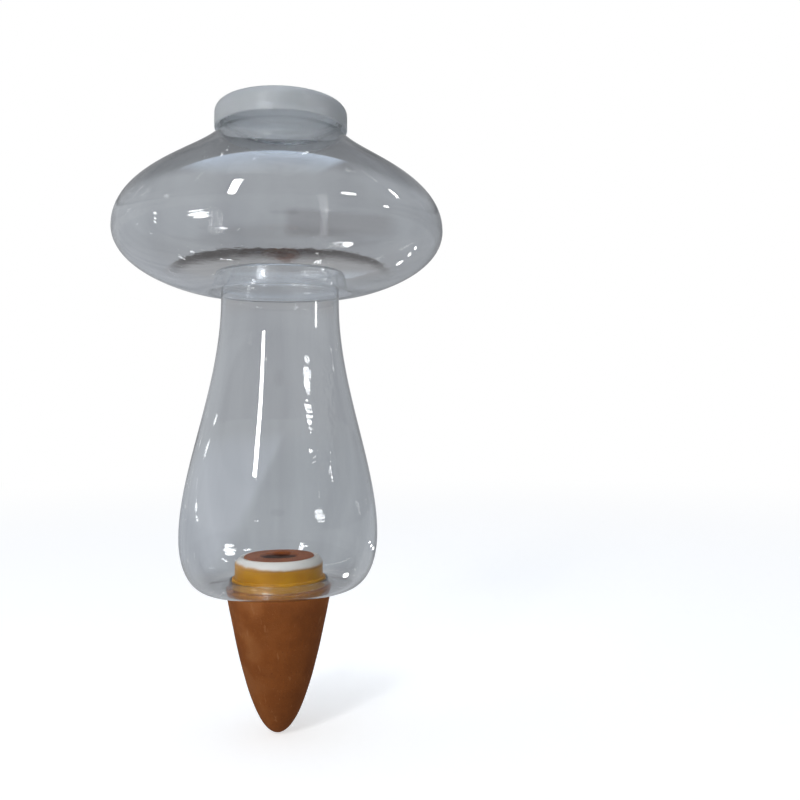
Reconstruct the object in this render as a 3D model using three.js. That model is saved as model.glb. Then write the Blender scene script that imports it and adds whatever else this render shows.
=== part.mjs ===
// A mushroom-shaped plant waterer: a clear bottle with a push-on lid, seated on a porous clay spike.
// Millimetres, +Z up. The axis is Z, and z = 0 is the soil line, where the bottle sits on the spike.

import * as THREE from 'three'

// Bottle: the heights stack up from the soil line
const BULB_DIAMETER = 56
const BULB_HEIGHT = 15.1
const BASE_INSET = 7.6
const WAIST_DIAMETER = 34
const WAIST_DROP = 2.5
const LIP_HEIGHT = 83.7
const CAP_DIAMETER = 95
const CAP_LOWER_DEPTH = 17.9
const CAP_UPPER_DEPTH = 30.5
const NECK_DIAMETER = 35.2
const NECK_LENGTH = 6.3
const BOTTLE_WALL = 0.8

// Bottle: how far each curve runs along its end's tangent before it turns
const SHOULDER_REACH = 9
const SHOULDER_FALL = 10.4
const CAP_UPPER_PULL = 14.8
const CAP_LOWER_PULL = 12.2
const LIP_PULL = 6
const STEM_PULL = 24.6
const BULB_UPPER_PULL = 19
const BULB_LOWER_PULL = 11.5
const BASE_PULL = 2.5

// Bottle: small features
const NECK_FILLET = 0.8
const RIM_CHAMFER = 0.3
const BEAD_PROUD = 0.7
const BEAD_HEIGHT = 2
const BEAD_BELOW_RIM = 2.8
const GROOVE_WIDTH = 1.6
const CREASE_DEPTH = 5.9
const CREASE_ROUND = 0.6
const INSIDE_ROUND = 0.25
const COLLAR_HEIGHT = 2.4

// Lid
const LID_TOP = 1.3
const LID_SKIRT_WALL = 0.9
const LID_EDGE_ROUND = 3.2
const LID_INNER_ROUND = 1.4
const LID_RING_WALL = 0.9
const LID_RING_DEPTH = 3

// Clay spike
const SPIKE_LENGTH = 40
const SPIKE_SEAT_WIDTH = 1.4
const SPIKE_EDGE = 0.4
const SPIKE_TAPER_RUN = 15.3
const SPIKE_TAPER_IN = 3.1
const SPIKE_TIP_PULL = 7.3
const SPIKE_NECK_DIAMETER = 20
const SPIKE_NECK_PROUD = 0.3
const SPIKE_NECK_ROUND = 0.5
const SPIKE_BORE_DIAMETER = 10.8
const SPIKE_BORE_STRAIGHT = 12
const SPIKE_BORE_END_DIAMETER = 6
const SPIKE_TIP_WALL = 11

// Rubber sleeve and white ring
const SLEEVE_WALL = 2.3
const SLEEVE_STEP = 0.75
const SLEEVE_COLLAR_HEIGHT = 2.9
const SLEEVE_HEIGHT = 6.2
const SLEEVE_ROUND = 0.35
const RING_HEIGHT = 2
const RING_FLAT = 0.5
const RING_TOP_WIDTH = 0.8

// Clearances between pieces
const SEAT_GAP = 0.3
const SLEEVE_FIT = 0.15
const MOUTH_FIT = 0.3
const LID_FIT = 0.3
const SKIRT_GAP = 0.3

// Steps round every turned piece, and along each kind of curve
const SEGMENTS = 36
const LONG_STEPS = 9
const SHORT_STEPS = 3

// Heights and radii that follow from the sizes above
const neckRadius = NECK_DIAMETER / 2
const capRadius = CAP_DIAMETER / 2
const waistRadius = WAIST_DIAMETER / 2
const bulbRadius = BULB_DIAMETER / 2
const baseRadius = bulbRadius - BASE_INSET
const capZ = LIP_HEIGHT + CAP_LOWER_DEPTH
const neckFootZ = capZ + CAP_UPPER_DEPTH
const rimZ = neckFootZ + NECK_LENGTH
const waistZ = LIP_HEIGHT - WAIST_DROP
const creaseZ = LIP_HEIGHT + CREASE_DEPTH - CREASE_ROUND
const insideTurn = BOTTLE_WALL + INSIDE_ROUND
const lipRadius = waistRadius + GROOVE_WIDTH + insideTurn

const clayNeckRadius = SPIKE_NECK_DIAMETER / 2
const sleeveBore = clayNeckRadius + SLEEVE_FIT
const sleeveRadius = sleeveBore + SLEEVE_WALL
const sleeveCollarRadius = sleeveRadius + SLEEVE_STEP
const mouthRadius = sleeveCollarRadius + MOUTH_FIT
const ledgeRadius = mouthRadius + SPIKE_SEAT_WIDTH
const ledgeZ = -SEAT_GAP
const ringFootZ = SLEEVE_HEIGHT + SEAT_GAP
const ringTopZ = ringFootZ + RING_HEIGHT
const clayTopZ = ringTopZ + SPIKE_NECK_PROUD

const at = (radius, z) => new THREE.Vector2(radius, z)

function bend(steps, start, startPull, endPull, end) {
  return new THREE.CubicBezierCurve(start, startPull, endPull, end).getPoints(steps)
}

function corner(steps, start, control, end) {
  return new THREE.QuadraticBezierCurve(start, control, end).getPoints(steps)
}

function arc(steps, centre, radiusAcross, radiusUp, fromDegrees, toDegrees) {
  const from = THREE.MathUtils.degToRad(fromDegrees)
  const to = THREE.MathUtils.degToRad(toDegrees)
  const clockwise = to < from
  return new THREE.EllipseCurve(
    centre.x, centre.y, radiusAcross, radiusUp, from, to, clockwise).getPoints(steps)
}

// Runs of points end to end, with a point that repeats the one before it left out
function joined(...runs) {
  const outline = []
  for (const point of runs.flat()) {
    const last = outline.at(-1)
    if (!last || last.distanceTo(point) > 1e-4) {
      outline.push(point)
    }
  }
  return outline
}

// The same run moved sideways by the wall, to the right of its direction, with mitred turns
function inset(run, wall) {
  return run.map((point, index) => {
    const before = run[Math.max(index - 1, 0)]
    const after = run[Math.min(index + 1, run.length - 1)]
    const arriving = (index > 0 ? point.clone().sub(before) : after.clone().sub(point)).normalize()
    const leaving = (after === point ? point.clone().sub(before) : after.clone().sub(point)).normalize()
    const along = arriving.clone().add(leaving).normalize()
    const mitre = wall / Math.max(along.dot(arriving), 0.5)
    return at(point.x + along.y * mitre, point.y - along.x * mitre)
  })
}

// An outline drawn clockwise in the half plane, turned about the Z axis; reversed, its faces look outwards
function turned(name, outline, material) {
  const geometry = new THREE.LatheGeometry(outline.toReversed(), SEGMENTS)
  geometry.rotateX(Math.PI / 2)
  const mesh = new THREE.Mesh(geometry, material)
  mesh.name = name
  return mesh
}

// Outside of the bottle from the foot of the neck down to the top of the mouth's collar
function bottleSkin() {
  const shoulderPull = at(neckRadius + SHOULDER_REACH, neckFootZ - SHOULDER_FALL)
  const neckFoot = at(neckRadius, neckFootZ)
  const shoulderStart = shoulderPull.clone().sub(neckFoot).setLength(NECK_FILLET).add(neckFoot)
  const capSide = at(capRadius, capZ)
  const lip = at(lipRadius, LIP_HEIGHT)
  const waist = at(waistRadius, waistZ)
  const bulbSide = at(bulbRadius, BULB_HEIGHT)
  const baseEdge = at(baseRadius, 0)
  return joined(
    corner(SHORT_STEPS, at(neckRadius, neckFootZ + NECK_FILLET), neckFoot, shoulderStart),
    bend(LONG_STEPS, shoulderStart, shoulderPull, at(capRadius, capZ + CAP_UPPER_PULL), capSide),
    bend(LONG_STEPS, capSide, at(capRadius, capZ - CAP_LOWER_PULL),
      at(lipRadius + LIP_PULL, LIP_HEIGHT), lip),
    arc(SHORT_STEPS, at(lipRadius, LIP_HEIGHT + insideTurn), insideTurn, insideTurn, 270, 180),
    arc(SHORT_STEPS, at(waistRadius + CREASE_ROUND, creaseZ), CREASE_ROUND, CREASE_ROUND, 0, 180),
    bend(LONG_STEPS, waist, at(waistRadius, waistZ - STEM_PULL),
      at(bulbRadius, BULB_HEIGHT + BULB_UPPER_PULL), bulbSide),
    bend(LONG_STEPS, bulbSide, at(bulbRadius, BULB_HEIGHT - BULB_LOWER_PULL),
      at(baseRadius + BASE_PULL, 0), baseEdge),
    arc(SHORT_STEPS, at(mouthRadius + insideTurn, insideTurn), insideTurn, insideTurn, 270, 180),
    [at(mouthRadius, COLLAR_HEIGHT)])
}

function reservoir() {
  const skin = bottleSkin()
  const beadZ = rimZ - BEAD_BELOW_RIM
  const neckBore = neckRadius - BOTTLE_WALL
  const outline = joined(
    [at(neckBore, rimZ), at(neckRadius - RIM_CHAMFER, rimZ), at(neckRadius, rimZ - RIM_CHAMFER)],
    arc(2 * SHORT_STEPS, at(neckRadius, beadZ), BEAD_PROUD, BEAD_HEIGHT / 2, 90, -90),
    skin,
    inset(skin, BOTTLE_WALL).reverse(),
    [at(neckBore, rimZ)])
  const clearPlastic = new THREE.MeshStandardMaterial(
    { color: 0xdfe6ec, roughness: 0.06, metalness: 0, transparent: true, opacity: 0.35 })
  return turned('reservoir', outline, clearPlastic)
}

function lid() {
  const bore = neckRadius + BEAD_PROUD + LID_FIT
  const outside = bore + LID_SKIRT_WALL
  const underside = rimZ + SEAT_GAP
  const top = underside + LID_TOP
  const skirtFoot = neckFootZ + SKIRT_GAP
  const ringOutside = neckRadius - BOTTLE_WALL - LID_FIT
  const ringInside = ringOutside - LID_RING_WALL
  const ringFoot = underside - LID_RING_DEPTH
  const outline = joined(
    [at(0, top)],
    arc(2 * SHORT_STEPS, at(outside - LID_EDGE_ROUND, top - LID_EDGE_ROUND),
      LID_EDGE_ROUND, LID_EDGE_ROUND, 90, 0),
    [at(outside, skirtFoot), at(bore, skirtFoot)],
    arc(SHORT_STEPS, at(bore - LID_INNER_ROUND, underside - LID_INNER_ROUND),
      LID_INNER_ROUND, LID_INNER_ROUND, 0, 90),
    [at(ringOutside, underside), at(ringOutside, ringFoot), at(ringInside, ringFoot)],
    [at(ringInside, underside), at(0, underside)])
  const milkyPlastic = new THREE.MeshStandardMaterial({ color: 0xe6eaec, roughness: 0.45, metalness: 0 })
  return turned('lid', outline, milkyPlastic)
}

function spike() {
  const tipZ = -SPIKE_LENGTH
  const shoulder = at(ledgeRadius, ledgeZ - SPIKE_EDGE)
  const boreRadius = SPIKE_BORE_DIAMETER / 2
  const boreEndRadius = SPIKE_BORE_END_DIAMETER / 2
  const boreEndZ = tipZ + SPIKE_TIP_WALL
  const outline = joined(
    [at(boreRadius, clayTopZ)],
    arc(SHORT_STEPS, at(clayNeckRadius - SPIKE_NECK_ROUND, clayTopZ - SPIKE_NECK_ROUND),
      SPIKE_NECK_ROUND, SPIKE_NECK_ROUND, 90, 0),
    [at(clayNeckRadius, ledgeZ), at(ledgeRadius - SPIKE_EDGE, ledgeZ)],
    bend(2 * LONG_STEPS, shoulder, at(ledgeRadius - SPIKE_TAPER_IN, shoulder.y - SPIKE_TAPER_RUN),
      at(SPIKE_TIP_PULL, tipZ), at(0, tipZ)))
  const bore = joined(
    arc(SHORT_STEPS, at(0, boreEndZ + boreEndRadius), boreEndRadius, boreEndRadius, 270, 360),
    [at(boreRadius, clayTopZ - SPIKE_BORE_STRAIGHT), at(boreRadius, clayTopZ)])
  const clay = new THREE.MeshStandardMaterial({ color: 0xa5602f, roughness: 0.95, metalness: 0 })
  return turned('spike', [...bore, ...outline.slice(1)], clay)
}

function sleeve() {
  const outline = joined(
    [at(sleeveBore, SLEEVE_HEIGHT)],
    arc(SHORT_STEPS, at(sleeveRadius - SLEEVE_ROUND, SLEEVE_HEIGHT - SLEEVE_ROUND),
      SLEEVE_ROUND, SLEEVE_ROUND, 90, 0),
    [at(sleeveRadius, SLEEVE_COLLAR_HEIGHT)],
    arc(SHORT_STEPS, at(sleeveCollarRadius - SLEEVE_ROUND, SLEEVE_COLLAR_HEIGHT - SLEEVE_ROUND),
      SLEEVE_ROUND, SLEEVE_ROUND, 90, 0),
    [at(sleeveCollarRadius, 0), at(sleeveBore, 0), at(sleeveBore, SLEEVE_HEIGHT)])
  const amberRubber = new THREE.MeshStandardMaterial({ color: 0xd99a1e, roughness: 0.4, metalness: 0 })
  return turned('sleeve', outline, amberRubber)
}

function sealRing() {
  const outline = [
    at(sleeveBore, ringTopZ),
    at(sleeveBore + RING_TOP_WIDTH, ringTopZ),
    at(sleeveRadius, ringFootZ + RING_FLAT),
    at(sleeveRadius, ringFootZ),
    at(sleeveBore, ringFootZ),
    at(sleeveBore, ringTopZ)]
  const whiteRubber = new THREE.MeshStandardMaterial({ color: 0xf1eeea, roughness: 0.5, metalness: 0 })
  return turned('seal_ring', outline, whiteRubber)
}

const plantWaterer = new THREE.Group()
plantWaterer.name = 'plant_waterer'
plantWaterer.add(spike(), sleeve(), sealRing(), reservoir(), lid())

export default plantWaterer
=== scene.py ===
import math

import bpy
from mathutils import Euler, Matrix, Vector, geometry, noise


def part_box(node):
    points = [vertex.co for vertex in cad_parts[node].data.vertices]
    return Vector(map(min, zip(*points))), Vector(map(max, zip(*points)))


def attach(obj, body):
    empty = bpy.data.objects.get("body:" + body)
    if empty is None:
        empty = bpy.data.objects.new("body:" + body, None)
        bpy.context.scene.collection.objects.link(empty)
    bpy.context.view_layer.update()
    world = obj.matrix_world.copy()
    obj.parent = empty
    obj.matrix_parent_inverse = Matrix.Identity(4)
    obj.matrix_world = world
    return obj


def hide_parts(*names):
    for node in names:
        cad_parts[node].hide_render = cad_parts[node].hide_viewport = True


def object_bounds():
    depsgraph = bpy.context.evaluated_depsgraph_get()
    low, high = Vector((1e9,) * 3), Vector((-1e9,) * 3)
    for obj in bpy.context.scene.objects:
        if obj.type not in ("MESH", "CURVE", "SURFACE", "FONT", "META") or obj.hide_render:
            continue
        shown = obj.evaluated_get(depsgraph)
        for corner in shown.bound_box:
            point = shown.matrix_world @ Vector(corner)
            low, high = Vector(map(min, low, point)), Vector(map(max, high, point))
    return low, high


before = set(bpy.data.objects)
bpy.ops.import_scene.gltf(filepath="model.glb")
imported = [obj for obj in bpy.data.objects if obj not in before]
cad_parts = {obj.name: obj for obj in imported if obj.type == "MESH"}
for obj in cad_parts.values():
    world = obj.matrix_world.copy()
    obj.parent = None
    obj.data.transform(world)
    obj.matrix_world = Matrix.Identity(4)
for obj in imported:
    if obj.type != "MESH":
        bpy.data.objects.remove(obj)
cad_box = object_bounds()

# A plant waterer: a clear mushroom-shaped bottle with a milky lid, on a clay spike. Lengths are in metres.

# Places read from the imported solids
SPIKE_LOW, SPIKE_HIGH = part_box("spike")
SLEEVE_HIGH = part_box("sleeve")[1]
RING_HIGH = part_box("seal_ring")[1]
BOTTLE_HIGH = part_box("reservoir")[1]
LID_LOW, LID_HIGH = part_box("lid")

# Bottle: the sizes that its box doesn't give
BULB_RADIUS = 0.028
BULB_Z = 0.0151
BASE_INSET = 0.0076
WAIST_RADIUS = 0.017
LIP_Z = 0.0837
WAIST_DROP = 0.0025
CAP_LOWER_DEPTH = 0.0179
CAP_UPPER_DEPTH = 0.0305
NECK_RADIUS = 0.0176
SHOULDER_REACH = 0.009
SHOULDER_FALL = 0.0104
CAP_UPPER_PULL = 0.0148
CAP_LOWER_PULL = 0.0122
LIP_PULL = 0.0045
STEM_PULL = 0.0246
BULB_UPPER_PULL = 0.019
BULB_LOWER_PULL = 0.0115
BASE_PULL = 0.0025
NECK_FILLET = 0.0016
RIM_ROUND = 0.0002
BEAD_PROUD = 0.0007
BEAD_HALF_HEIGHT = 0.001
BEAD_BELOW_RIM = 0.0028
GROOVE_WIDTH = 0.0016
CREASE_DEPTH = 0.0059
CREASE_ROUND = 0.0006
LIP_ACROSS = 0.0026
LIP_UP = 0.0042
COLLAR_HEIGHT = 0.0024
MOUTH_FIT = 0.0003
MOUTH_RADIUS = SLEEVE_HIGH.x + MOUTH_FIT
# The solid's wall, which the lid's ring and the mouth's turn allow for, and the thinner wall that is seen
WALL = 0.0008
TURN_ROUND = 0.00025
INSIDE_TURN = WALL + TURN_ROUND
CLEAR_WALL = 0.00045
# Blown plastic is a little uneven: how far its inside wanders, and how often round the axis and up it
BLOWN_SWAY = CLEAR_WALL / 12
BLOWN_WAVES_ROUND = 2.2
BLOWN_WAVES_UP = 60

# Lid
LID_TOP = 0.0013
LID_SKIRT_WALL = 0.0009
LID_EDGE_ROUND = 0.0032
LID_INNER_ROUND = 0.0014
LID_FOOT_ROUND = 0.00035
LID_RING_WALL = 0.0009
LID_RING_DEPTH = 0.003
LID_FIT = 0.0003

# Clay spike
LEDGE_Z = -0.0003
LEDGE_EDGE = 0.0004
TAPER_RUN = 0.0153
TAPER_IN = 0.0031
TIP_PULL = 0.0073
CLAY_NECK_RADIUS = 0.01
CLAY_NECK_ROUND = 0.0005
BORE_RADIUS = 0.0054
BORE_STRAIGHT = 0.012
BORE_END_RADIUS = 0.003
TIP_WALL = 0.011
CLAY_UNEVEN = 0.0001
CLAY_LUMPS = 230
LEAST_RADIUS = 0.00002

# Rubber sleeve and white ring
SLEEVE_FIT = 0.00015
SLEEVE_BORE = CLAY_NECK_RADIUS + SLEEVE_FIT
SLEEVE_STEP = 0.00075
SLEEVE_COLLAR_Z = 0.0029
SLEEVE_ROUND = 0.00035
RING_FLAT = 0.0005
RING_TOP_WIDTH = 0.0008
RING_EDGE_IN = 0.0004
RING_EDGE_DOWN = 0.0006
WHITE_TILT = (0.027, -0.058, 1.0)
WHITE_LEVEL = 0.0073
WHITE_FADE = 0.0005

# From here on a pair is a fade: the value at which it is 0, and the one at which it is 1

# Clear plastic: the rippled strip on the front right of the stem, which deepens towards the bulb
RIPPLE_TOP = (0.066, 0.056)
RIPPLE_FOOT = (0.027, 0.031)
RIPPLE_DEEPER = (0.042, 0.036)
RIPPLE_LEFT = (0.003, 0.008)
RIPPLE_RIGHT = (0.0165, 0.0135)
RIPPLE_FRONT = (0.0, -0.005)
# Clear plastic: rubbed dull round the mouth, and cloudy where the cap folds up to the stem
RUBBED_Z = (COLLAR_HEIGHT + 0.0008, COLLAR_HEIGHT)
RUBBED_RADIUS = (MOUTH_RADIUS + 0.0035, MOUTH_RADIUS + 0.0015)
FOLD_FOOT = (LIP_Z - 0.0005, LIP_Z + 0.001)
FOLD_TOP = (LIP_Z + 0.009, LIP_Z + 0.0065)
FOLD_RADIUS = (0.0255, 0.0215)

# Clay: painted shade inside the bore, and damp on the neck's top
BORE_TOP_Z = SPIKE_HIGH.z - CLAY_NECK_ROUND
BORE_END_Z = SPIKE_LOW.z + TIP_WALL
BORE_SHADE_TOP = (BORE_TOP_Z, BORE_TOP_Z - 0.0005)
BORE_SHADE_END = (BORE_END_Z - 0.002, BORE_END_Z)
BORE_SHADE_RADIUS = (BORE_RADIUS + 0.0006, BORE_RADIUS)
DAMP_TOP = (BORE_TOP_Z - 0.001, BORE_TOP_Z)

# The camera stood close: these give its place from the soil line, and the frame's tilt
CAMERA_DISTANCE = 0.2535
CAMERA_HEIGHT = 0.051
CAMERA_YAW = math.radians(7.9)
CAMERA_PITCH = math.radians(4.6)
CAMERA_ROLL = math.radians(0.35)
CAMERA_LENS = 38.95
CAMERA_SENSOR = 36
CAMERA_SHIFT = -0.08
CAMERA_CLIP = 0.005

# The floor, and what the bottle mirrors and lets through of it:
# a grey table that is dark round the spike, with a cloth on its right
FLOOR_RADIUS = 6.0
FLOOR_STEPS = 64
FLOOR_GAP = 0.0002
FLOOR_SHADE = (0.05, 0.9)
TABLE_NEAR = (0.1, 0.083, 0.072, 1)
TABLE_BEHIND = (0.42, 0.435, 0.455, 1)
TABLE_LEFT = (0.44, 0.462, 0.5, 1)
TABLE_RIGHT = (0.355, 0.373, 0.396, 1)
TABLE_BACK = (-0.01, 0.03)
TABLE_CLEARS = (0.08, 0.13)
TABLE_FAR = (0.9, 3.5)
# The cloth's edge: how far it leans across per metre of depth, and where it crosses below the bottle
CLOTH_LEAN = 0.0266
CLOTH_X = -0.0463
CLOTH_FADE = (-0.008, 0.012)
# Spots that glow on the table as painted glints for the bottle to show, bright but for a dark one: x, y,
# radius and level
PAINTED_SPOTS = ((-0.258, -0.184, 0.05, 14), (-0.2, -0.148, 0.03, 14), (-0.36, -0.25, 0.05, 14),
         (0.08, -0.008, 0.009, 12), (0.195, -0.357, 0.022, 10), (0.012, -0.255, 0.05, 0.04),
         (0.16, 0.19, 0.012, 9), (0.2, 0.176, 0.012, 9), (0.25, 0.177, 0.014, 9))
SPOT_CORE = 0.7

# The room that the bottle mirrors and lets through: its grey by height, from level to straight up
ROOM_GREY = (0.38, 0.394, 0.414, 1)
ROOM_STOPS = (
    (0.0, ROOM_GREY),
    (0.1, ROOM_GREY),
    (0.15, (0.33, 0.342, 0.36)),
    (0.2, (0.335, 0.35, 0.37)),
    (0.275, (0.37, 0.386, 0.406)),
    (0.295, (0.22, 0.228, 0.238)),
    (0.31, (0.22, 0.228, 0.238)),
    (0.335, (0.31, 0.32, 0.335)),
    (0.42, (0.31, 0.32, 0.335)),
    (0.48, (0.24, 0.248, 0.26)),
    (1.0, (0.24, 0.25, 0.27)))
ROOM_SIDE_SLOPE = -0.5
ROOM_SIDE_LOW = (0.45, 0.28)
DRAPE_TILT = math.radians(18)
DRAPE_SCALE = (9, 9, 2)
BEHIND_Y = (-0.1, -0.5)
BEHIND_Z = (0.2, 0.3)
BEHIND_DARK = (0.08, 0.084, 0.09, 1)
CEILING_Y = (0.25, 0.45)
CEILING_Z = (0.5, 0.62)
CEILING_DARK = (0.06, 0.063, 0.068, 1)
LEAST_DEPTH = 0.05

# A painted reflection: a brown arch on the room's far wall, with the clay plug's reflection in its middle;
# by how far across and up it is for its depth
ARCH_AHEAD = (0.3, 0.5)
ARCH_BOW = 130.0
ARCH_BOW_POWER = 4.0
ARCH_TOP = (0.1768, 0.1745)
ARCH_FOOT = (0.153, 0.172)
ARCH_ENDS = (0.145, 0.115)
ARCH_LEFT = (-0.03, -0.09)
ARCH_LEFT_WIDER = 0.005
ARCH_BROWN = (0.03, 0.021, 0.018, 1)
WARM_UP = (0.1, 0.13)
WARM_GREY = (0.335, 0.325, 0.32, 1)
PLUG_REFLECTION_MIDDLE = 0.008
PLUG_REFLECTION_SLOPE = -1.3
PLUG_REFLECTION_UP = (0.14, 0.155)
PLUG_REFLECTION_BROWN = (0.13, 0.068, 0.052, 1)

# A darker picture on the same wall, and a bluish light overhead
PICTURE_LEFT = (0.0, 0.015)
PICTURE_RIGHT = (0.155, 0.12)
PICTURE_FOOT = (0.188, 0.2)
PICTURE_TOP = (0.235, 0.225)
PICTURE_GREY = (0.27, 0.276, 0.29, 1)
SKY_FAR_EDGE = (0.4, 0.36)
SKY_NEAR_EDGE = (-0.7, 0.3)
SKY_RIGHT = (0.4, 0.3)
SKY_LEFT = (-0.8, -0.4)
SKY_HEIGHT = (0.3, 0.5)
SKY_BLUE = (1.4, 1.68, 2.08, 1)

# Lamps: name, azimuth, elevation, distance, width, height and watts
WINDOW = ("window", -31, 31.05, 0.9, 0.082, 0.43, 4.3)
OVERHEAD = ("overhead", -20, 72, 1.0, 0.6, 0.5, 0.5)
OVERHEAD_TINT = (0.9, 0.95, 1.0)
# Small windows that only the shiny surfaces mirror
GLINTS = (("side_window", 45.5, 26.2, 0.9, 0.15, 0.06, 0.54),
          ("right_glint", 72, 12.6, 0.9, 0.06, 0.07, 0.24),
          ("high_glint", 89, 34, 0.9, 0.04, 0.17, 0.36))
LIGHT_BOUNCES = 24

# Steps round the axis, and along a long or a short run of an outline
ROUND_STEPS = 112
LONG_STEPS = 30
SHORT_STEPS = 7
SAME_POINT = 1e-7
SHARPEST_MITRE = 0.5


def at(radius, z):
    return Vector((radius, z))


def bend(steps, start, start_pull, end_pull, end):
    """A Bezier curve."""
    return [Vector(p) for p in geometry.interpolate_bezier(start, start_pull, end_pull, end, steps + 1)]


def corner(steps, start, control, end):
    """A rounded corner: a curve with one control point."""
    third = 2 / 3
    return bend(steps, start, start.lerp(control, third), end.lerp(control, third), end)


def arc(steps, centre, across, up, from_degrees, to_degrees):
    """An arc of an ellipse that is across wide and up high, each from its centre."""
    points = []
    for step in range(steps + 1):
        turn = math.radians(from_degrees + (to_degrees - from_degrees) * step / steps)
        points.append(at(centre.x + across * math.cos(turn), centre.y + up * math.sin(turn)))
    return points


def line(steps, start, end):
    return [start.lerp(end, step / steps) for step in range(steps + 1)]


def joined(*runs):
    """Runs of points end to end, with a point that repeats the one before it left out."""
    outline = []
    for run in runs:
        for point in run:
            if not outline or (outline[-1] - point).length > SAME_POINT:
                outline.append(point)
    return outline


def inset(run, wall):
    """The run moved sideways by the wall, to the right of its direction, with mitred turns."""
    moved = []
    for index, point in enumerate(run):
        before = run[max(index - 1, 0)]
        after = run[min(index + 1, len(run) - 1)]
        arriving = (point - before if index else after - point).normalized()
        leaving = (after - point if index < len(run) - 1 else point - before).normalized()
        along = (arriving + leaving).normalized()
        mitre = wall / max(along.dot(arriving), SHARPEST_MITRE)
        moved.append(at(point.x + along.y * mitre, point.y - along.x * mitre))
    return moved


def turned(name, outline, body, node, material, shape=None):
    """The outline turned about the Z axis. It is closed, or starts and ends on the axis."""
    vertices, faces, rings = [], [], []
    closed = (outline[0] - outline[-1]).length < SAME_POINT
    for index, point in enumerate(outline[:-1] if closed else outline):
        if point.x < SAME_POINT:
            rings.append([len(vertices)])
            vertices.append((0, 0, point.y))
            continue
        rings.append(list(range(len(vertices), len(vertices) + ROUND_STEPS)))
        for step in range(ROUND_STEPS):
            turn = 2 * math.pi * step / ROUND_STEPS
            moved = shape(index, point, turn) if shape else point
            vertices.append((moved.x * math.cos(turn), moved.x * math.sin(turn), moved.y))
    pairs = list(zip(rings, rings[1:] + rings[:1])) if closed else list(zip(rings, rings[1:]))
    for upper, lower in pairs:
        for step in range(ROUND_STEPS):
            ahead = (step + 1) % ROUND_STEPS
            corners = [upper[step % len(upper)], lower[step % len(lower)],
                       lower[ahead % len(lower)], upper[ahead % len(upper)]]
            faces.append(list(dict.fromkeys(corners)))
    mesh = bpy.data.meshes.new(name)
    mesh.from_pydata(vertices, [], faces)
    mesh.validate()
    mesh.shade_smooth()
    piece = bpy.data.objects.new(name, mesh)
    bpy.context.scene.collection.objects.link(piece)
    piece.data.materials.append(material)
    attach(piece, body)
    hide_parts(node)


class Nodes:
    """A material's or world's node tree, with short calls to add and join nodes."""

    def __init__(self, owner):
        owner.use_nodes = True
        self.tree = owner.node_tree
        self.tree.nodes.clear()

    def add(self, kind, settings=None, **inputs):
        node = self.tree.nodes.new(kind)
        for name, value in (settings or {}).items():
            setattr(node, name, value)
        for name, value in inputs.items():
            self.feed(node.inputs[name.replace("_", " ")], value)
        return node

    def feed(self, socket, value):
        if isinstance(value, bpy.types.NodeSocket):
            self.tree.links.new(value, socket)
        else:
            socket.default_value = value

    def ramp(self, factor, *stops):
        node = self.add("ShaderNodeValToRGB", Fac=factor)
        elements = node.color_ramp.elements
        while len(elements) < len(stops):
            elements.new(0.5)
        for element, (place, colour) in zip(elements, stops):
            element.position = place
            element.color = (*colour, 1) if len(colour) == 3 else colour
        return node.outputs["Color"]

    def noise(self, where, scale, detail=4, roughness=0.5):
        node = self.add("ShaderNodeTexNoise", Vector=where, Scale=scale, Detail=detail, Roughness=roughness)
        return node.outputs["Fac"]

    def maths(self, operation, *values):
        node = self.add("ShaderNodeMath", {"operation": operation})
        for socket, value in zip(node.inputs, values):
            self.feed(socket, value)
        return node.outputs[0]

    def mix(self, factor, first, second, blend="MIX"):
        node = self.add("ShaderNodeMix", {"data_type": "RGBA", "blend_type": blend})
        self.feed(node.inputs["Factor"], factor)
        self.feed(node.inputs["A"], first)
        self.feed(node.inputs["B"], second)
        return node.outputs["Result"]

    def tint(self, mask, share, first, second):
        """The first colour, with a share of the second where the mask is 1."""
        return self.mix(self.maths("MULTIPLY", mask, share), first, second)

    def blend(self, factor, first, second):
        """Two shaders, mixed."""
        node = self.add("ShaderNodeMixShader", Fac=factor)
        self.feed(node.inputs[1], first.outputs[0])
        self.feed(node.inputs[2], second.outputs[0])
        return node

    def between(self, value, low, high):
        """value from low to high, as 0 to 1."""
        node = self.add("ShaderNodeMapRange", {"clamp": True, "interpolation_type": "SMOOTHSTEP"})
        self.feed(node.inputs["Value"], value)
        self.feed(node.inputs["From Min"], low)
        self.feed(node.inputs["From Max"], high)
        return node.outputs["Result"]

    def band(self, value, start, end):
        """1 where value is past the fades at both its ends."""
        return self.maths("MULTIPLY", self.between(value, *start), self.between(value, *end))

    def radius(self, place):
        """How far the place is from the Z axis."""
        flat = self.add("ShaderNodeVectorMath", {"operation": "MULTIPLY"}, Vector=place)
        flat.inputs[1].default_value = (1, 1, 0)
        length = self.add("ShaderNodeVectorMath", {"operation": "LENGTH"}, Vector=flat.outputs["Vector"])
        return length.outputs["Value"]

    def bump(self, height, distance, strength=1.0, onto=None):
        node = self.add("ShaderNodeBump", Height=height, Distance=distance, Strength=strength)
        if onto is not None:
            self.feed(node.inputs["Normal"], onto)
        return node.outputs["Normal"]


def rgb(red, green, blue):
    """An sRGB colour of 0 to 255 as Blender's linear colour."""
    def linear(part):
        part /= 255
        return part / 12.92 if part <= 0.04045 else ((part + 0.055) / 1.055) ** 2.4
    return linear(red), linear(green), linear(blue), 1.0


def rippled_strip(nodes, along):
    """Where the stem's wall is rippled."""
    stem = nodes.band(along.outputs["Z"], RIPPLE_TOP, RIPPLE_FOOT)
    deeper = nodes.maths("MULTIPLY_ADD", nodes.between(along.outputs["Z"], *RIPPLE_DEEPER), 0.6, 1.0)
    right = nodes.band(along.outputs["X"], RIPPLE_LEFT, RIPPLE_RIGHT)
    front = nodes.maths("MULTIPLY", nodes.between(along.outputs["Y"], *RIPPLE_FRONT), deeper)
    return nodes.maths("MULTIPLY", stem, nodes.maths("MULTIPLY", right, front))


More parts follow.
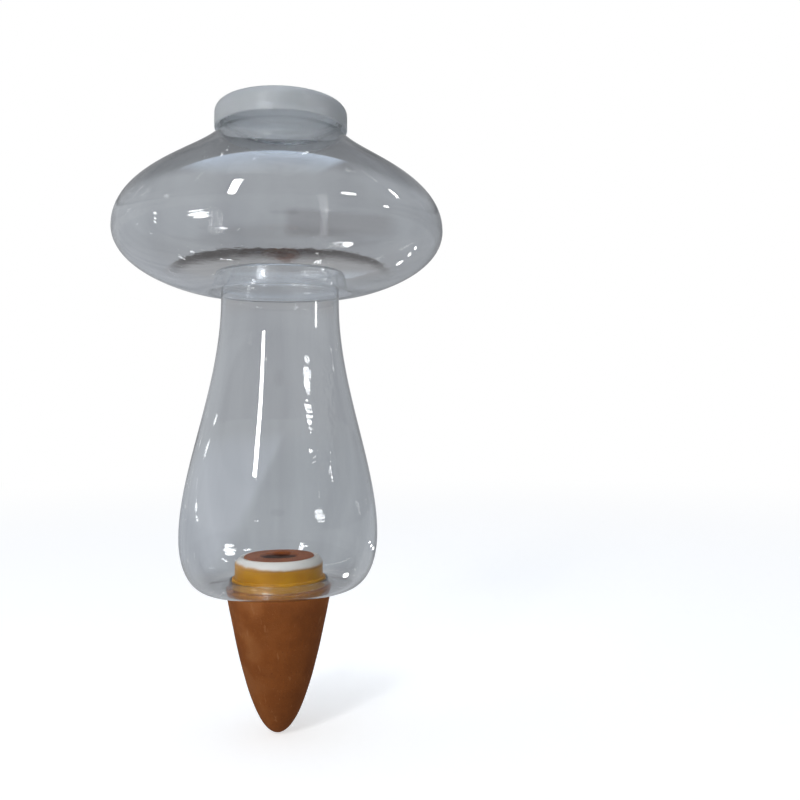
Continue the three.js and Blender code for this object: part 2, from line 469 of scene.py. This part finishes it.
def dullness(nodes, place, along):
    """The clear plastic's roughness: faint smears, the cloudy fold and the rubbed mouth."""
    level = along.outputs["Z"]
    radius = nodes.radius(place)
    smears = nodes.maths("MULTIPLY", nodes.noise(place, scale=60, detail=5, roughness=0.6), 0.03)
    rubbed = nodes.maths("MULTIPLY", nodes.between(level, *RUBBED_Z), nodes.between(radius, *RUBBED_RADIUS))
    fold = nodes.maths("MULTIPLY", nodes.between(level, *FOLD_FOOT), nodes.between(radius, *FOLD_RADIUS))
    cloudy = nodes.maths("MULTIPLY", fold, nodes.between(level, *FOLD_TOP))
    hazy = nodes.maths("MULTIPLY_ADD", cloudy, 0.11, smears)
    return nodes.maths("MULTIPLY_ADD", rubbed, 0.16, hazy)


def clear_plastic():
    material = bpy.data.materials.new("clear_plastic")
    nodes = Nodes(material)
    place = nodes.add("ShaderNodeTexCoord").outputs["Object"]
    along = nodes.add("ShaderNodeSeparateXYZ", Vector=place)
    lumps = nodes.maths("MULTIPLY", nodes.noise(place, scale=210, detail=2), rippled_strip(nodes, along))
    wavy = nodes.bump(nodes.noise(place, scale=90, detail=2), distance=0.0006, strength=0.025)
    rippled = nodes.bump(lumps, distance=0.0005, strength=0.3, onto=wavy)
    fine = nodes.noise(place, scale=420, detail=2)
    surface = nodes.bump(fine, distance=0.0001, strength=0.05, onto=rippled)
    plastic = nodes.add("ShaderNodeBsdfPrincipled", Roughness=dullness(nodes, place, along), Normal=surface)
    plastic.inputs["Base Color"].default_value = (0.98, 0.987, 0.994, 1)
    plastic.inputs["Transmission Weight"].default_value = 1
    plastic.inputs["IOR"].default_value = 1.5
    # Lamps shine through, so that the bottle throws no dark shadow on the plug
    lets_lamps_in = nodes.add("ShaderNodeBsdfTransparent", Color=(0.9, 0.92, 0.94, 1))
    light = nodes.add("ShaderNodeLightPath")
    both = nodes.blend(light.outputs["Is Shadow Ray"], plastic, lets_lamps_in)
    nodes.add("ShaderNodeOutputMaterial", Surface=both.outputs[0])
    return material


def milky_plastic():
    material = bpy.data.materials.new("milky_plastic")
    nodes = Nodes(material)
    place = nodes.add("ShaderNodeTexCoord").outputs["Object"]
    cloud = nodes.noise(place, scale=120, detail=3)
    colour = nodes.ramp(cloud, (0.3, rgb(234, 237, 238)), (0.7, rgb(242, 244, 246)))
    grain = nodes.bump(nodes.noise(place, scale=1500, detail=2), distance=0.00005, strength=0.3)
    plastic = nodes.add("ShaderNodeBsdfPrincipled", Base_Color=colour, Normal=grain)
    plastic.inputs["Roughness"].default_value = 0.32
    plastic.inputs["Transmission Weight"].default_value = 0.72
    plastic.inputs["IOR"].default_value = 1.22
    nodes.add("ShaderNodeOutputMaterial", Surface=plastic.outputs[0])
    return material


def fired_colour(nodes, place, along):
    """The clay's colour: blotches, pale and dark specks, scuffs, and paler patches on the left side that
    are painted light from the left.
    """
    blotch = nodes.noise(place, scale=95, detail=5, roughness=0.6)
    body = nodes.ramp(blotch, (0.3, rgb(119, 65, 28)), (0.55, rgb(135, 76, 34)), (0.75, rgb(148, 91, 47)))
    speck = nodes.between(nodes.noise(place, scale=2300, detail=2), 0.62, 0.7)
    specked = nodes.tint(speck, 0.12, body, rgb(180, 128, 92))
    dark = nodes.between(nodes.noise(place, scale=1500, detail=3), 0.62, 0.74)
    flecked = nodes.tint(dark, 0.35, specked, rgb(84, 43, 24))
    stretched = nodes.add("ShaderNodeMapping", Vector=place)
    stretched.inputs["Scale"].default_value = (900, 900, 160)
    scuff = nodes.between(nodes.noise(stretched.outputs[0], scale=1, detail=2), 0.66, 0.74)
    scuffed = nodes.tint(scuff, 0.3, flecked, rgb(172, 118, 76))
    patches = nodes.between(nodes.noise(place, scale=130, detail=3), 0.35, 0.65)
    # Painted light: paler patches only on the left side, where the lamp light falls
    lit_left_patches = nodes.maths("MULTIPLY", patches, nodes.between(along.outputs["X"], 0.002, -0.01))
    return nodes.tint(lit_left_patches, 0.24, scuffed, rgb(176, 122, 76))


def clay():
    material = bpy.data.materials.new("clay")
    nodes = Nodes(material)
    place = nodes.add("ShaderNodeTexCoord").outputs["Object"]
    along = nodes.add("ShaderNodeSeparateXYZ", Vector=place)
    level = along.outputs["Z"]
    deep = nodes.band(level, BORE_SHADE_TOP, BORE_SHADE_END)
    inside = nodes.maths("MULTIPLY", deep, nodes.between(nodes.radius(place), *BORE_SHADE_RADIUS))
    fired = fired_colour(nodes, place, along)
    damp = nodes.tint(nodes.between(level, *DAMP_TOP), 0.5, fired, rgb(88, 38, 22))
    # Painted shade: the bore's walls are darkened almost to black
    colour = nodes.tint(inside, 0.9, damp, rgb(34, 17, 10))
    pores = nodes.add("ShaderNodeTexVoronoi", Vector=place, Scale=1400)
    pitted = nodes.between(pores.outputs["Distance"], 0.12, 0.3)
    grit = nodes.noise(place, scale=3200, detail=4, roughness=0.6)
    grain = nodes.bump(grit, distance=0.00012, strength=0.6)
    surface = nodes.bump(pitted, distance=0.0001, strength=0.35, onto=grain)
    stone = nodes.add("ShaderNodeBsdfPrincipled", Base_Color=colour, Normal=surface)
    stone.inputs["Roughness"].default_value = 0.88
    stone.inputs["Specular IOR Level"].default_value = 0.15
    nodes.add("ShaderNodeOutputMaterial", Surface=stone.outputs[0])
    return material


def amber(nodes, place):
    cloud = nodes.noise(place, scale=240, detail=4)
    return nodes.ramp(cloud, (0.3, rgb(151, 101, 5)), (0.7, rgb(165, 116, 12)))


def amber_rubber():
    material = bpy.data.materials.new("amber_rubber")
    nodes = Nodes(material)
    place = nodes.add("ShaderNodeTexCoord").outputs["Object"]
    skin = nodes.bump(nodes.noise(place, scale=1100, detail=3), distance=0.00008, strength=0.3)
    rubber = nodes.add("ShaderNodeBsdfPrincipled", Base_Color=amber(nodes, place), Normal=skin)
    rubber.inputs["Roughness"].default_value = 0.42
    rubber.inputs["Specular IOR Level"].default_value = 0.25
    nodes.add("ShaderNodeOutputMaterial", Surface=rubber.outputs[0])
    return material


def white_rubber():
    """White that was smeared on unevenly: it runs out into the amber along a tilted level. Its right side
    is painted grey as shade.
    """
    material = bpy.data.materials.new("white_rubber")
    nodes = Nodes(material)
    place = nodes.add("ShaderNodeTexCoord").outputs["Object"]
    tilted = nodes.add("ShaderNodeVectorMath", {"operation": "DOT_PRODUCT"}, Vector=place)
    tilted.inputs[1].default_value = WHITE_TILT
    uneven = nodes.maths("SUBTRACT", nodes.noise(place, scale=260, detail=3), 0.5)
    level = nodes.maths("ADD", tilted.outputs["Value"], nodes.maths("MULTIPLY", uneven, 0.001))
    white = nodes.between(level, WHITE_LEVEL - WHITE_FADE, WHITE_LEVEL + WHITE_FADE)
    along = nodes.add("ShaderNodeSeparateXYZ", Vector=place)
    # Painted shade: the white is greyer on the right side, away from the lamp light
    grey = nodes.between(along.outputs["X"], 0.003, 0.012)
    shaded_white = nodes.tint(grey, 0.5, rgb(186, 183, 177), rgb(132, 128, 120))
    colour = nodes.mix(white, amber(nodes, place), shaded_white)
    skin = nodes.bump(nodes.noise(place, scale=900, detail=3), distance=0.0001, strength=0.35)
    rubber = nodes.add("ShaderNodeBsdfPrincipled", Base_Color=colour, Normal=skin)
    rubber.inputs["Roughness"].default_value = 0.5
    nodes.add("ShaderNodeOutputMaterial", Surface=rubber.outputs[0])
    return material


def bottle_skin():
    """Outside of the bottle from the foot of the neck down to the top of the mouth's collar."""
    cap_radius = BOTTLE_HIGH.x
    cap_z = LIP_Z + CAP_LOWER_DEPTH
    foot_z = cap_z + CAP_UPPER_DEPTH
    lip_radius = WAIST_RADIUS + GROOVE_WIDTH + LIP_ACROSS
    base_radius = BULB_RADIUS - BASE_INSET
    waist_z = LIP_Z - WAIST_DROP
    crease_z = LIP_Z + CREASE_DEPTH - CREASE_ROUND
    foot = at(NECK_RADIUS, foot_z)
    shoulder_pull = at(NECK_RADIUS + SHOULDER_REACH, foot_z - SHOULDER_FALL)
    shoulder = foot + (shoulder_pull - foot).normalized() * NECK_FILLET
    cap_side = at(cap_radius, cap_z)
    lip = at(lip_radius, LIP_Z)
    lip_end = at(lip_radius - LIP_ACROSS, LIP_Z + LIP_UP)
    crease = at(WAIST_RADIUS + CREASE_ROUND, crease_z)
    waist = at(WAIST_RADIUS, waist_z)
    bulb_side = at(BULB_RADIUS, BULB_Z)
    base_edge = at(base_radius, 0)
    mouth = at(MOUTH_RADIUS + INSIDE_TURN, INSIDE_TURN)
    return joined(
        corner(SHORT_STEPS, at(NECK_RADIUS, foot_z + NECK_FILLET), foot, shoulder),
        bend(LONG_STEPS, shoulder, shoulder_pull, at(cap_radius, cap_z + CAP_UPPER_PULL), cap_side),
        bend(LONG_STEPS, cap_side, at(cap_radius, cap_z - CAP_LOWER_PULL),
             at(lip_radius + LIP_PULL, LIP_Z), lip),
        arc(2 * SHORT_STEPS, at(lip_radius, LIP_Z + LIP_UP), LIP_ACROSS, LIP_UP, 270, 180),
        line(SHORT_STEPS, lip_end, at(WAIST_RADIUS + 2 * CREASE_ROUND, crease_z)),
        arc(SHORT_STEPS, crease, CREASE_ROUND, CREASE_ROUND, 0, 180),
        line(SHORT_STEPS, at(WAIST_RADIUS, crease_z), waist),
        bend(LONG_STEPS, waist, at(WAIST_RADIUS, waist_z - STEM_PULL),
             at(BULB_RADIUS, BULB_Z + BULB_UPPER_PULL), bulb_side),
        bend(LONG_STEPS, bulb_side, at(BULB_RADIUS, BULB_Z - BULB_LOWER_PULL),
             at(base_radius + BASE_PULL, 0), base_edge),
        line(SHORT_STEPS, base_edge, at(mouth.x, 0)),
        arc(SHORT_STEPS, mouth, INSIDE_TURN, INSIDE_TURN, 270, 180),
        [at(MOUTH_RADIUS, COLLAR_HEIGHT - CLEAR_WALL / 2)])


def make_bottle():
    skin = bottle_skin()
    rim_z = BOTTLE_HIGH.z
    bore = NECK_RADIUS - CLEAR_WALL
    bead_middle = at(NECK_RADIUS, rim_z - BEAD_BELOW_RIM)
    bead = arc(2 * SHORT_STEPS, bead_middle, BEAD_PROUD, BEAD_HALF_HEIGHT, 90, -90)
    rim = joined(
        [at(bore, rim_z - RIM_ROUND)],
        arc(SHORT_STEPS, at(bore + RIM_ROUND, rim_z - RIM_ROUND), RIM_ROUND, RIM_ROUND, 180, 90),
        arc(SHORT_STEPS, at(NECK_RADIUS - RIM_ROUND, rim_z - RIM_ROUND), RIM_ROUND, RIM_ROUND, 90, 0))
    outside = joined(rim, bead, skin)
    inside = inset(skin, CLEAR_WALL)
    inside.reverse()
    half = CLEAR_WALL / 2
    collar_rim = arc(SHORT_STEPS, at(MOUTH_RADIUS + half, COLLAR_HEIGHT - half), half, half, 180, 0)
    outline = joined(outside, collar_rim, inside, line(SHORT_STEPS, inside[-1], outside[0]))
    first_inside = len(outside) + SHORT_STEPS

    def blown(index, point, turn):
        """The inside wanders a little, but not within the lid, where the neck fits."""
        if index < first_inside or point.y > LID_LOW.z:
            return point
        spot = Vector((math.cos(turn) * BLOWN_WAVES_ROUND, math.sin(turn) * BLOWN_WAVES_ROUND,
                       point.y * BLOWN_WAVES_UP))
        return at(point.x - BLOWN_SWAY * noise.noise(spot), point.y)

    turned("bottle", outline, "bottle", "reservoir", clear_plastic(), blown)


def make_lid():
    outside = LID_HIGH.x
    bore = outside - LID_SKIRT_WALL
    top = LID_HIGH.z
    underside = top - LID_TOP
    foot = LID_LOW.z
    ring_outside = NECK_RADIUS - WALL - LID_FIT
    ring_inside = ring_outside - LID_RING_WALL
    ring_foot = underside - LID_RING_DEPTH
    small = LID_FOOT_ROUND
    outline = joined(
        line(LONG_STEPS, at(0, top), at(outside - LID_EDGE_ROUND, top)),
        arc(2 * SHORT_STEPS, at(outside - LID_EDGE_ROUND, top - LID_EDGE_ROUND),
            LID_EDGE_ROUND, LID_EDGE_ROUND, 90, 0),
        line(SHORT_STEPS, at(outside, top - LID_EDGE_ROUND), at(outside, foot + small)),
        arc(SHORT_STEPS, at(outside - small, foot + small), small, small, 0, -90),
        arc(SHORT_STEPS, at(bore + small, foot + small), small, small, 270, 180),
        line(SHORT_STEPS, at(bore, foot + small), at(bore, underside - LID_INNER_ROUND)),
        arc(SHORT_STEPS, at(bore - LID_INNER_ROUND, underside - LID_INNER_ROUND),
            LID_INNER_ROUND, LID_INNER_ROUND, 0, 90),
        line(2, at(bore - LID_INNER_ROUND, underside), at(ring_outside, underside)),
        line(SHORT_STEPS, at(ring_outside, underside), at(ring_outside, ring_foot)),
        line(2, at(ring_outside, ring_foot), at(ring_inside, ring_foot)),
        line(SHORT_STEPS, at(ring_inside, ring_foot), at(ring_inside, underside)),
        line(SHORT_STEPS, at(ring_inside, underside), at(0, underside)))
    turned("push_on_lid", outline, "push_on_lid", "lid", milky_plastic())


def make_spike():
    tip_z = SPIKE_LOW.z
    top_z = SPIKE_HIGH.z
    ledge = SPIKE_HIGH.x
    small = CLAY_NECK_ROUND
    bore_end = at(0, BORE_END_Z + BORE_END_RADIUS)
    bore_foot = at(BORE_RADIUS, top_z - BORE_STRAIGHT)
    shoulder = at(ledge, LEDGE_Z - LEDGE_EDGE)
    taper = at(ledge - TAPER_IN, shoulder.y - TAPER_RUN)
    outline = joined(
        arc(SHORT_STEPS, bore_end, BORE_END_RADIUS, BORE_END_RADIUS, 270, 360),
        line(LONG_STEPS, at(BORE_END_RADIUS, bore_end.y), bore_foot),
        line(LONG_STEPS, bore_foot, at(BORE_RADIUS, top_z - small)),
        arc(SHORT_STEPS, at(BORE_RADIUS + small, top_z - small), small, small, 180, 90),
        line(SHORT_STEPS, at(BORE_RADIUS + small, top_z), at(CLAY_NECK_RADIUS - small, top_z)),
        arc(SHORT_STEPS, at(CLAY_NECK_RADIUS - small, top_z - small), small, small, 90, 0),
        line(SHORT_STEPS, at(CLAY_NECK_RADIUS, top_z - small), at(CLAY_NECK_RADIUS, LEDGE_Z)),
        line(SHORT_STEPS, at(CLAY_NECK_RADIUS, LEDGE_Z), at(ledge - LEDGE_EDGE, LEDGE_Z)),
        arc(SHORT_STEPS, at(ledge - LEDGE_EDGE, LEDGE_Z - LEDGE_EDGE), LEDGE_EDGE, LEDGE_EDGE, 90, 0),
        bend(3 * LONG_STEPS, shoulder, taper, at(TIP_PULL, tip_z), at(0, tip_z)))

    def hand_pressed(index, point, turn):
        """The clay is uneven: a point lies up to a tenth of a millimetre nearer the axis."""
        spot = Vector((point.x * math.cos(turn), point.x * math.sin(turn), point.y)) * CLAY_LUMPS
        dent = CLAY_UNEVEN * (0.5 + 0.5 * noise.noise(spot))
        return at(max(point.x - dent, LEAST_RADIUS), point.y)

    turned("clay_spike", outline, "planted_spike", "spike", clay(), hand_pressed)


def make_sleeve():
    collar = SLEEVE_HIGH.x
    radius = collar - SLEEVE_STEP
    top = SLEEVE_HIGH.z
    small = SLEEVE_ROUND
    fillet = small / 2
    outline = joined(
        line(SHORT_STEPS, at(SLEEVE_BORE, top), at(radius - small, top)),
        arc(SHORT_STEPS, at(radius - small, top - small), small, small, 90, 0),
        line(SHORT_STEPS, at(radius, top - small), at(radius, SLEEVE_COLLAR_Z + fillet)),
        arc(SHORT_STEPS, at(radius + fillet, SLEEVE_COLLAR_Z + fillet), fillet, fillet, 180, 270),
        arc(SHORT_STEPS, at(collar - small, SLEEVE_COLLAR_Z - small), small, small, 90, 0),
        line(SHORT_STEPS, at(collar, SLEEVE_COLLAR_Z - small), at(collar, 0)),
        line(SHORT_STEPS, at(collar, 0), at(SLEEVE_BORE, 0)),
        line(SHORT_STEPS, at(SLEEVE_BORE, 0), at(SLEEVE_BORE, top)))
    turned("rubber_sleeve", outline, "planted_spike", "sleeve", amber_rubber())


def make_ring():
    foot = SLEEVE_HIGH.z
    top = RING_HIGH.z
    radius = RING_HIGH.x
    shoulder = at(SLEEVE_BORE + RING_TOP_WIDTH, top)
    edge = at(radius - RING_EDGE_IN, top - RING_EDGE_DOWN)
    outline = joined(
        line(2, at(SLEEVE_BORE, top), shoulder),
        corner(2 * SHORT_STEPS, shoulder, edge, at(radius, foot + RING_FLAT)),
        line(SHORT_STEPS, at(radius, foot + RING_FLAT), at(radius, foot)),
        line(SHORT_STEPS, at(radius, foot), at(SLEEVE_BORE, foot)),
        line(SHORT_STEPS, at(SLEEVE_BORE, foot), at(SLEEVE_BORE, top)))
    turned("white_ring", outline, "planted_spike", "seal_ring", white_rubber())


def pale_floor(nodes, away):
    """What the camera sees of the floor: white, with a soft shadow by the spike."""
    paper = nodes.add("ShaderNodeBsdfDiffuse", Color=(0.6, 0.6, 0.6, 1))
    glow = nodes.add("ShaderNodeEmission", Color=(0.62, 0.62, 0.62, 1))
    near = nodes.add("ShaderNodeAddShader")
    nodes.feed(near.inputs[0], paper.outputs[0])
    nodes.feed(near.inputs[1], glow.outputs[0])
    white = nodes.add("ShaderNodeEmission", Color=(1, 1, 1, 1))
    return nodes.blend(nodes.between(away, *FLOOR_SHADE), near, white)


def mirrored_table(nodes, place, away):
    """What the bottle mirrors and lets through: the grey table, its cloth, and spots that glow on it as
    painted glints.
    """
    along = nodes.add("ShaderNodeSeparateXYZ", Vector=place)
    edge = nodes.maths("MULTIPLY_ADD", along.outputs["Y"], CLOTH_LEAN, CLOTH_X)
    cloth = nodes.between(nodes.maths("SUBTRACT", along.outputs["X"], edge), *CLOTH_FADE)
    middle = nodes.mix(cloth, TABLE_LEFT, TABLE_RIGHT)
    way = nodes.add("ShaderNodeVectorMath", {"operation": "NORMALIZE"}, Vector=place).outputs["Vector"]
    sideways = nodes.add("ShaderNodeSeparateXYZ", Vector=way).outputs["X"]
    side = nodes.maths("MULTIPLY_ADD", sideways, ROOM_SIDE_SLOPE, 1.0)
    wall = nodes.mix(1.0, ROOM_GREY, side, "MULTIPLY")
    far = nodes.mix(nodes.between(away, *TABLE_FAR), middle, wall)
    back = nodes.between(along.outputs["Y"], *TABLE_BACK)
    near = nodes.mix(back, TABLE_NEAR, TABLE_BEHIND)
    reach = nodes.maths("MULTIPLY_ADD", back, -0.1, away)
    plain = nodes.mix(nodes.between(reach, *TABLE_CLEARS), near, far)
    streaks = nodes.noise(way, scale=13, detail=3)
    bands = nodes.ramp(streaks, (0.3, (0.86, 0.865, 0.87)), (0.7, (1.13, 1.135, 1.13)))
    colour = nodes.mix(1.0, plain, bands, "MULTIPLY")
    # Painted glints: bright spots that glow like small lamps, and one dark spot
    for x, y, radius, level in PAINTED_SPOTS:
        apart = nodes.add("ShaderNodeVectorMath", {"operation": "DISTANCE"}, Vector=place)
        apart.inputs[1].default_value = (x, y, 0)
        spot = nodes.between(apart.outputs["Value"], radius, radius * SPOT_CORE)
        colour = nodes.mix(spot, colour, (level, level, level, 1))
    return nodes.add("ShaderNodeEmission", Color=colour)


def make_floor():
    rim = []
    for step in range(FLOOR_STEPS):
        turn = 2 * math.pi * step / FLOOR_STEPS
        rim.append((FLOOR_RADIUS * math.cos(turn), FLOOR_RADIUS * math.sin(turn), 0))
    mesh = bpy.data.meshes.new("floor")
    mesh.from_pydata(rim, [], [list(range(FLOOR_STEPS))])
    floor = bpy.data.objects.new("floor", mesh)
    floor.location.z = cad_box[0].z - FLOOR_GAP
    bpy.context.scene.collection.objects.link(floor)
    material = bpy.data.materials.new("floor")
    nodes = Nodes(material)
    place = nodes.add("ShaderNodeTexCoord").outputs["Object"]
    away = nodes.add("ShaderNodeVectorMath", {"operation": "LENGTH"}, Vector=place).outputs["Value"]
    light = nodes.add("ShaderNodeLightPath")
    bounce = nodes.add("ShaderNodeEmission", Color=(0.5, 0.5, 0.5, 1))
    unseen = nodes.blend(light.outputs["Is Diffuse Ray"], mirrored_table(nodes, place, away), bounce)
    both = nodes.blend(light.outputs["Is Camera Ray"], unseen, pale_floor(nodes, away))
    nodes.add("ShaderNodeOutputMaterial", Surface=both.outputs[0])
    mesh.materials.append(material)


def on_far_wall(nodes, parts):
    """How far across and how far up the far wall a direction goes, for the wall's depth."""
    ahead = nodes.maths("MAXIMUM", parts.outputs["Y"], LEAST_DEPTH)
    across = nodes.maths("DIVIDE", parts.outputs["X"], ahead)
    up = nodes.maths("DIVIDE", parts.outputs["Z"], ahead)
    return across, up


def brown_arch(nodes, parts, colour):
    """A brown arch low on the room's far side, which shows through the underside of the cap: a painted
    reflection, with the clay plug's painted reflection in its middle.
    """
    across, up = on_far_wall(nodes, parts)
    span = nodes.maths("ABSOLUTE", across)
    level = nodes.maths("MULTIPLY_ADD", nodes.maths("POWER", span, ARCH_BOW_POWER), ARCH_BOW, up)
    there = nodes.between(parts.outputs["Y"], *ARCH_AHEAD)
    under = nodes.maths("MULTIPLY", there, nodes.between(level, *ARCH_TOP))
    ends = nodes.maths("MULTIPLY", under, nodes.between(span, *ARCH_ENDS))
    wide = nodes.maths("MULTIPLY_ADD", nodes.between(across, *ARCH_LEFT), ARCH_LEFT_WIDER, level)
    arch = nodes.maths("MULTIPLY", ends, nodes.between(wide, *ARCH_FOOT))
    below = nodes.maths("MULTIPLY", under, nodes.between(up, *WARM_UP))
    warm = nodes.tint(below, 0.6, colour, WARM_GREY)
    # Painted reflection of the clay plug: a reddish brown patch in the arch's middle
    off = nodes.maths("ABSOLUTE", nodes.maths("SUBTRACT", across, PLUG_REFLECTION_MIDDLE))
    slope = nodes.maths("MULTIPLY_ADD", off, PLUG_REFLECTION_SLOPE, level)
    plug_reflection = nodes.maths("MULTIPLY", under, nodes.between(slope, *PLUG_REFLECTION_UP))
    with_plug_reflection = nodes.tint(plug_reflection, 0.7, warm, PLUG_REFLECTION_BROWN)
    return nodes.tint(arch, 0.95, with_plug_reflection, ARCH_BROWN)


def dark_picture(nodes, parts, colour):
    """A darker picture on the far wall, right of the middle."""
    across, up = on_far_wall(nodes, parts)
    width = nodes.band(across, PICTURE_LEFT, PICTURE_RIGHT)
    height = nodes.band(up, PICTURE_FOOT, PICTURE_TOP)
    return nodes.mix(nodes.maths("MULTIPLY", width, height), colour, PICTURE_GREY)


def skylight(nodes, parts, colour):
    """A bluish light overhead: its far edge is sharp, and towards the camera it fades."""
    up = nodes.maths("MAXIMUM", parts.outputs["Z"], LEAST_DEPTH)
    back = nodes.maths("DIVIDE", parts.outputs["Y"], up)
    across = nodes.maths("DIVIDE", parts.outputs["X"], up)
    depth = nodes.band(back, SKY_FAR_EDGE, SKY_NEAR_EDGE)
    width = nodes.band(across, SKY_RIGHT, SKY_LEFT)
    high = nodes.maths("MULTIPLY", width, nodes.between(parts.outputs["Z"], *SKY_HEIGHT))
    return nodes.mix(nodes.maths("MULTIPLY", depth, high), colour, SKY_BLUE)


def draped_grey(nodes, way, parts):
    """The room's grey by height, with soft folds, and paler on the left."""
    room = nodes.ramp(parts.outputs["Z"], *ROOM_STOPS)
    drape = nodes.add("ShaderNodeMapping", {"vector_type": "POINT"}, Vector=way)
    drape.inputs["Rotation"].default_value = (0, DRAPE_TILT, 0)
    drape.inputs["Scale"].default_value = DRAPE_SCALE
    fold = nodes.noise(drape.outputs[0], scale=1.6, detail=3, roughness=0.55)
    shade = nodes.ramp(fold, (0.3, (0.88, 0.88, 0.89)), (0.5, (1, 1, 1)), (0.7, (1.1, 1.1, 1.1)))
    folded = nodes.mix(1.0, room, shade, "MULTIPLY")
    low = nodes.between(parts.outputs["Z"], *ROOM_SIDE_LOW)
    sideways = nodes.maths("MULTIPLY", parts.outputs["X"], low)
    side = nodes.maths("MULTIPLY_ADD", sideways, ROOM_SIDE_SLOPE, 1.0)
    return nodes.mix(1.0, folded, side, "MULTIPLY")


def make_room():
    """The backdrop is white. What the bottle mirrors and lets through is a soft grey room."""
    world = bpy.data.worlds.new("room")
    bpy.context.scene.world = world
    nodes = Nodes(world)
    way = nodes.add("ShaderNodeTexCoord").outputs["Generated"]
    parts = nodes.add("ShaderNodeSeparateXYZ", Vector=way)
    depth, height = parts.outputs["Y"], parts.outputs["Z"]
    behind = nodes.maths("MULTIPLY", nodes.between(depth, *BEHIND_Y), nodes.between(height, *BEHIND_Z))
    dimmed = nodes.tint(behind, 0.5, draped_grey(nodes, way, parts), BEHIND_DARK)
    ceiling = nodes.maths("MULTIPLY", nodes.between(depth, *CEILING_Y), nodes.between(height, *CEILING_Z))
    shaded = nodes.tint(ceiling, 0.8, dimmed, CEILING_DARK)
    lit = skylight(nodes, parts, dark_picture(nodes, parts, shaded))
    light = nodes.add("ShaderNodeLightPath")
    colour = nodes.mix(light.outputs["Is Camera Ray"], brown_arch(nodes, parts, lit), (1, 1, 1, 1))
    sky = nodes.add("ShaderNodeBackground", Color=colour)
    nodes.add("ShaderNodeOutputWorld", Surface=sky.outputs[0])


def make_lamp(name, azimuth, elevation, distance, width, height, watts, colour=(1, 1, 1)):
    """A soft box that faces the middle of the object, azimuth degrees to the camera's right."""
    middle = (cad_box[0] + cad_box[1]) / 2
    turn, tilt = math.radians(azimuth), math.radians(elevation)
    way = Vector((math.sin(turn) * math.cos(tilt), -math.cos(turn) * math.cos(tilt), math.sin(tilt)))
    lamp = bpy.data.lights.new(name, "AREA")
    lamp.shape = "RECTANGLE"
    lamp.size = width
    lamp.size_y = height
    lamp.energy = watts
    lamp.color = colour
    thing = bpy.data.objects.new(name, lamp)
    thing.location = middle + way * distance
    thing.rotation_mode = "QUATERNION"
    thing.rotation_quaternion = (-way).to_track_quat("-Z", "Y")
    bpy.context.scene.collection.objects.link(thing)
    return thing


def make_camera():
    camera = bpy.data.cameras.new("camera")
    camera.lens = CAMERA_LENS
    camera.sensor_width = CAMERA_SENSOR
    camera.shift_y = CAMERA_SHIFT
    camera.clip_start = CAMERA_CLIP
    thing = bpy.data.objects.new("camera", camera)
    ahead = Euler((math.pi / 2 + CAMERA_PITCH, 0, -CAMERA_YAW)).to_matrix()
    thing.matrix_world = (Matrix.Translation((0, -CAMERA_DISTANCE, CAMERA_HEIGHT))
                          @ (ahead @ Matrix.Rotation(-CAMERA_ROLL, 3, "Z")).to_4x4())
    bpy.context.scene.collection.objects.link(thing)
    bpy.context.scene.camera = thing


make_bottle()
make_lid()
make_spike()
make_sleeve()
make_ring()
make_floor()
make_room()
make_lamp(*WINDOW)
for glint in GLINTS:
    make_lamp(*glint).visible_diffuse = False
make_lamp(*OVERHEAD, OVERHEAD_TINT).visible_glossy = False
make_camera()
bpy.context.scene.view_settings.view_transform = "Standard"
bpy.context.scene.cycles.max_bounces = LIGHT_BOUNCES
bpy.context.scene.cycles.transmission_bounces = LIGHT_BOUNCES
